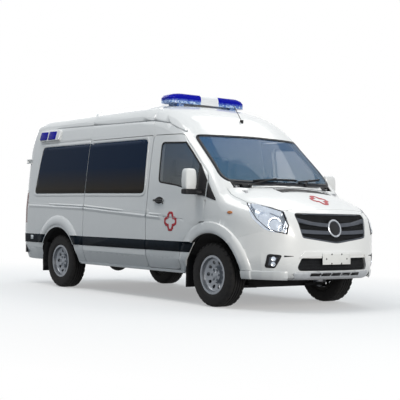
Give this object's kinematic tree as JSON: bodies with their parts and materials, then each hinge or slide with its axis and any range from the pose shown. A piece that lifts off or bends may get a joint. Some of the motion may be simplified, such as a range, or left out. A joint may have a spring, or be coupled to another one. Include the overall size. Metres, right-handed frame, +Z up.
{
  "type": "ambulance",
  "caption": "White panel van ambulance with tinted side windows, blue roof lights, opening front and rear doors, lifting bonnet and steered front wheels.",
  "frame": {"origin": "middle of the body's length and width, on the ground under the tyres", "axes": "+X forward, +Y to the van's left, +Z up"},
  "size_m": [5.3288, 2.3586, 2.5143],
  "materials": {
    "white_paint": "gloss white paint",
    "underbody": "black underbody paint",
    "dark_glass": "dark tinted glass",
    "cab_glass": "lightly tinted glass",
    "windscreen_glass": "clear laminated glass",
    "black_plastic": "grained black plastic",
    "grille_plastic": "black plastic mesh and bars",
    "lamp_clear": "clear lamp cover",
    "lamp_red": "red lamp lens",
    "lamp_blue": "blue lamp lens",
    "bar_housing": "pale plastic housing",
    "cab_plastic": "grey moulded plastic",
    "seat_fabric": "dark woven cloth",
    "engine_iron": "cast block",
    "bare_steel": "bare steel",
    "flap_rubber": "black rubber sheet",
    "wheel_silver": "silver painted steel",
    "lip_silver": "silver paint",
    "tyre": "black tyre rubber"
  },
  "bodies": {
    "van_body": {"floor_pan": "underbody", "wheel_housings": "underbody", "side_right": "white_paint", "side_left": "white_paint", "sliding_door": "white_paint", "side_glass": "dark_glass", "roof": "white_paint", "front_bulkhead": "white_paint", "cowl": "black_plastic", "windscreen": "windscreen_glass", "wings": "white_paint", "front_bumper": "white_paint", "front_lip": "lip_silver", "rear_bumper": "black_plastic", "grille": "grille_plastic", "front_lamps": "lamp_clear", "tail_lamps": "lamp_red", "light_bar": "bar_housing", "blue_lenses": "lamp_blue", "antenna": "black_plastic", "dashboard": "cab_plastic", "seats": "seat_fabric", "steering_wheel": "cab_plastic", "partition": "cab_plastic", "engine": "engine_iron", "fuel_tank": "black_plastic", "exhaust": "bare_steel", "front_suspension": "underbody", "rear_axle": "underbody", "leaf_springs": "underbody", "mud_flaps": "flap_rubber", "hinge_brackets": "bare_steel"},
    "bonnet": {"bonnet": "white_paint", "bonnet_hinges": "bare_steel"},
    "front_door_right": {"front_door_right": "white_paint", "front_door_glass_right": "cab_glass", "front_door_hinges_right": "bare_steel", "mirror_right": "white_paint"},
    "rear_door_right": {"rear_door_right": "white_paint", "rear_door_glass_right": "dark_glass", "rear_door_hinges_right": "white_paint"},
    "knuckle_right": {"knuckle_right": "bare_steel"},
    "wheel_front_right": {"rim_front_right": "wheel_silver", "tyre_front_right": "tyre"},
    "wheel_rear_right": {"rim_rear_right": "wheel_silver", "tyre_rear_right": "tyre"},
    "front_door_left": {"front_door_left": "white_paint", "front_door_glass_left": "cab_glass", "front_door_hinges_left": "bare_steel", "mirror_left": "white_paint"},
    "rear_door_left": {"rear_door_left": "white_paint", "rear_door_glass_left": "dark_glass", "rear_door_hinges_left": "white_paint"},
    "knuckle_left": {"knuckle_left": "bare_steel"},
    "wheel_front_left": {"rim_front_left": "wheel_silver", "tyre_front_left": "tyre"},
    "wheel_rear_left": {"rim_rear_left": "wheel_silver", "tyre_rear_left": "tyre"}
  },
  "joints": [
    {"name": "front_door_right_swing", "type": "hinge", "parent": "van_body", "child": "front_door_right", "pos_m": [1.515, -0.958, 1.07], "axis": [0, 0, 1], "range_deg": [0, 65]},
    {"name": "rear_door_right_swing", "type": "hinge", "parent": "van_body", "child": "rear_door_right", "pos_m": [-2.652, -0.924, 1.2], "axis": [0, 0, 1], "range_deg": [0, 180]},
    {"name": "steer_right", "type": "hinge", "parent": "van_body", "child": "knuckle_right", "pos_m": [1.655, -0.77, 0.355], "axis": [0, 0, 1], "range_deg": [-32, 32]},
    {"name": "wheel_front_right_spin", "type": "hinge", "parent": "knuckle_right", "child": "wheel_front_right", "pos_m": [1.655, -0.845, 0.355], "axis": [0, 1, 0], "continuous": true},
    {"name": "wheel_rear_right_spin", "type": "hinge", "parent": "van_body", "child": "wheel_rear_right", "pos_m": [-1.645, -0.845, 0.355], "axis": [0, 1, 0], "continuous": true},
    {"name": "front_door_left_swing", "type": "hinge", "parent": "van_body", "child": "front_door_left", "pos_m": [1.515, 0.958, 1.07], "axis": [0, 0, -1], "range_deg": [0, 65]},
    {"name": "rear_door_left_swing", "type": "hinge", "parent": "van_body", "child": "rear_door_left", "pos_m": [-2.652, 0.924, 1.2], "axis": [0, 0, -1], "range_deg": [0, 180]},
    {"name": "steer_left", "type": "hinge", "parent": "van_body", "child": "knuckle_left", "pos_m": [1.655, 0.77, 0.355], "axis": [0, 0, 1], "range_deg": [-32, 32]},
    {"name": "wheel_front_left_spin", "type": "hinge", "parent": "knuckle_left", "child": "wheel_front_left", "pos_m": [1.655, 0.845, 0.355], "axis": [0, 1, 0], "continuous": true},
    {"name": "wheel_rear_left_spin", "type": "hinge", "parent": "van_body", "child": "wheel_rear_left", "pos_m": [-1.645, 0.845, 0.355], "axis": [0, 1, 0], "continuous": true},
    {"name": "bonnet_lift", "type": "hinge", "parent": "van_body", "child": "bonnet", "pos_m": [1.74, 0, 1.345], "axis": [0, -1, 0], "range_deg": [0, 60]}
  ],
  "couplings": [
    {"joint": "steer_left", "follows": "steer_right", "ratio": 1}
  ]
}
